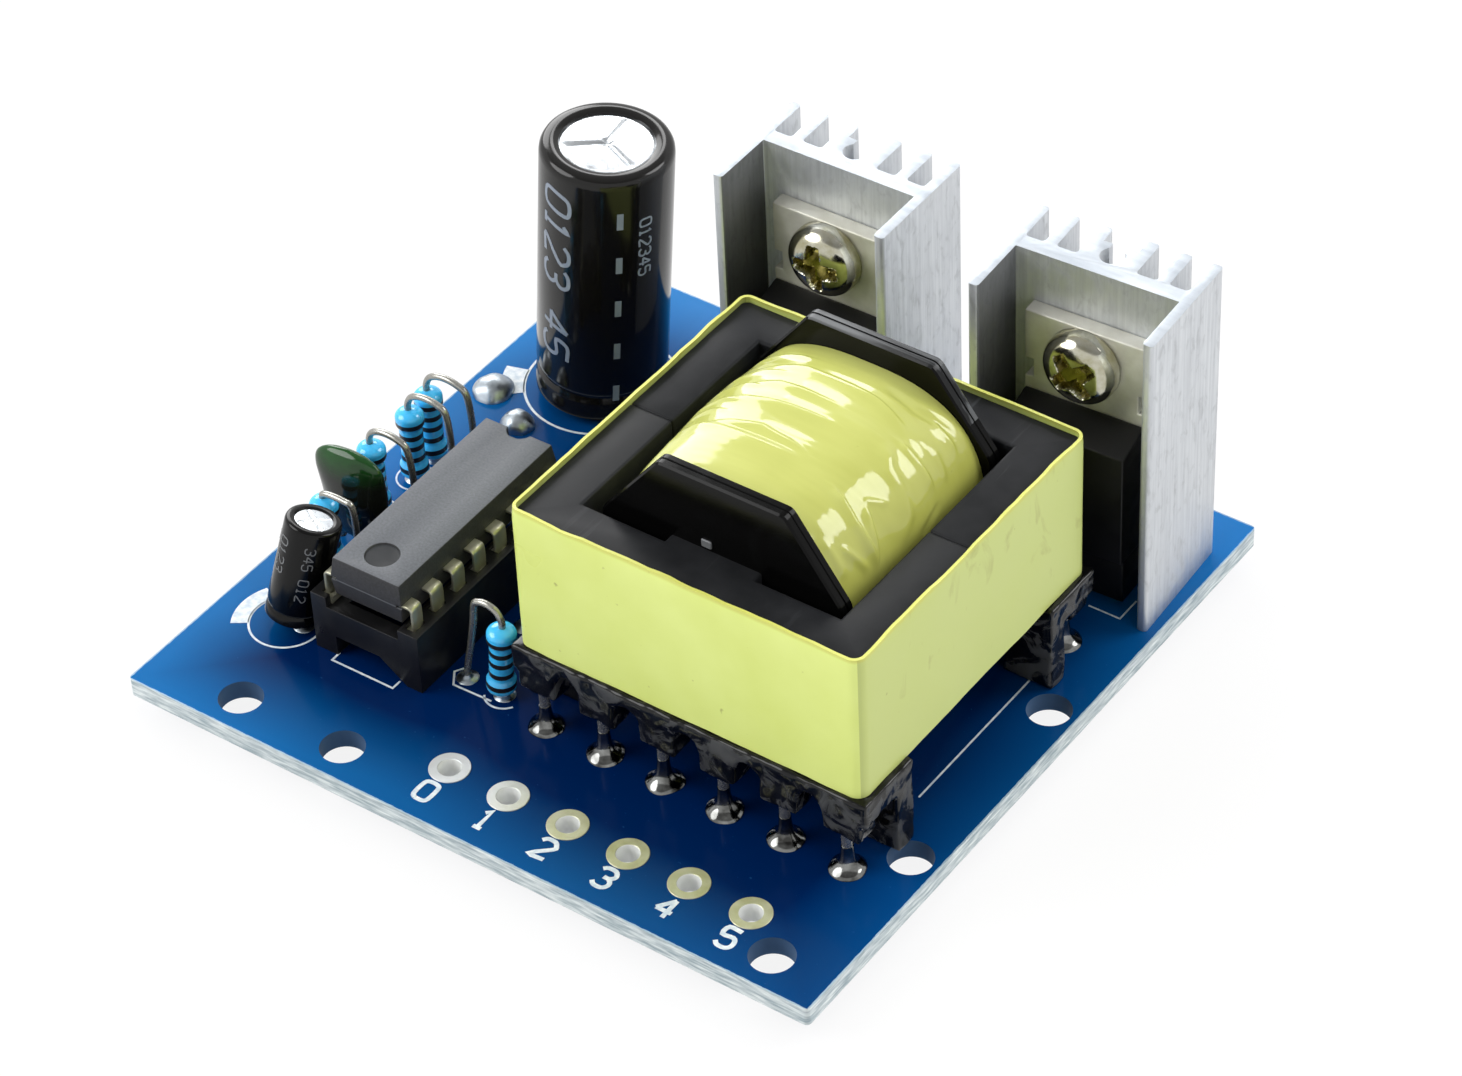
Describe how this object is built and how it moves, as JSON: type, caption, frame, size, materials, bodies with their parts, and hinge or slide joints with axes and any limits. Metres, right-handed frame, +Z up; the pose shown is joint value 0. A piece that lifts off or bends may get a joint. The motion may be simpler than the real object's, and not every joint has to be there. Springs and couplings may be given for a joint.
{
  "type": "power inverter module",
  "caption": "Small step-up inverter board: taped transformer, transistors on finned heatsinks, socketed driver chip, capacitors and upright resistors on a blue board with plated output pads.",
  "frame": {"origin": "centre of the bounding box's base: the middle of the board in plan, at the tips of the trimmed leads below it", "axes": "+X along the front edge that carries the output pads, towards the transformer's side; +Y from that edge to the heatsinks; +Z up from the board"},
  "size_m": [0.0604, 0.059, 0.0301],
  "materials": {
    "board_lacquer": "glossy blue lacquer over glass fibre",
    "tinned_pads": "tinned, slightly dull",
    "ferrite": "matt sintered ferrite",
    "yellow_tape": "glossy polyester film tape",
    "bobbin_moulding": "glossy black moulding, varnished",
    "copper_wire": "enamelled copper",
    "tinned_leads": "tinned wire",
    "solder": "bright solder",
    "bare_aluminium": "bright drawn can",
    "black_sleeve": "glossy shrink sleeve",
    "bung_rubber": "matt rubber",
    "chip_moulding": "fine-grained moulding",
    "socket_moulding": "satin black moulding",
    "resistor_lacquer": "glossy sky-blue lacquer with dark bands",
    "green_dip": "glossy dark green dip",
    "extruded_aluminium": "mill-finish extrusion with fine streaks",
    "tab_metal": "tinned copper tab",
    "case_moulding": "satin black moulding",
    "plated_screw": "yellowish zinc plate"
  },
  "bodies": {
    "root": {"circuit_board": "board_lacquer", "output_pads": "tinned_pads", "ferrite_core_front": "ferrite", "ferrite_core_rear": "ferrite", "core_tape": "yellow_tape", "winding_tape": "yellow_tape", "transformer_bobbin": "bobbin_moulding", "primary_winding": "copper_wire", "secondary_winding": "copper_wire", "transformer_pins": "tinned_leads", "transformer_solder": "solder", "main_capacitor_can": "bare_aluminium", "main_capacitor_sleeve": "black_sleeve", "main_capacitor_bung": "bung_rubber", "main_capacitor_leads": "tinned_leads", "small_capacitor_can": "bare_aluminium", "small_capacitor_sleeve": "black_sleeve", "small_capacitor_bung": "bung_rubber", "small_capacitor_leads": "tinned_leads", "chip_body": "chip_moulding", "chip_leads": "tinned_leads", "chip_socket": "socket_moulding", "socket_contacts": "tinned_leads", "resistor_bodies": "resistor_lacquer", "resistor_lower_leads": "tinned_leads", "film_capacitor_body": "green_dip", "film_capacitor_leads": "tinned_leads", "heatsink_left": "extruded_aluminium", "heatsink_right": "extruded_aluminium", "heatsink_pins": "tinned_leads", "heatsink_screws": "plated_screw", "input_solder": "solder", "underside_solder": "solder", "underside_flat_solder": "solder", "resistor_loop_lead_1": "tinned_leads", "resistor_loop_lead_2": "tinned_leads", "resistor_loop_lead_3": "tinned_leads", "resistor_loop_lead_4": "tinned_leads", "resistor_loop_lead_5": "tinned_leads", "resistor_loop_lead_6": "tinned_leads", "transistor_left_tab": "tab_metal", "transistor_left_case": "case_moulding", "transistor_left_leads": "tinned_leads", "transistor_left_spacer": "case_moulding", "transistor_right_tab": "tab_metal", "transistor_right_case": "case_moulding", "transistor_right_leads": "tinned_leads", "transistor_right_spacer": "case_moulding"}
  },
  "joints": []
}
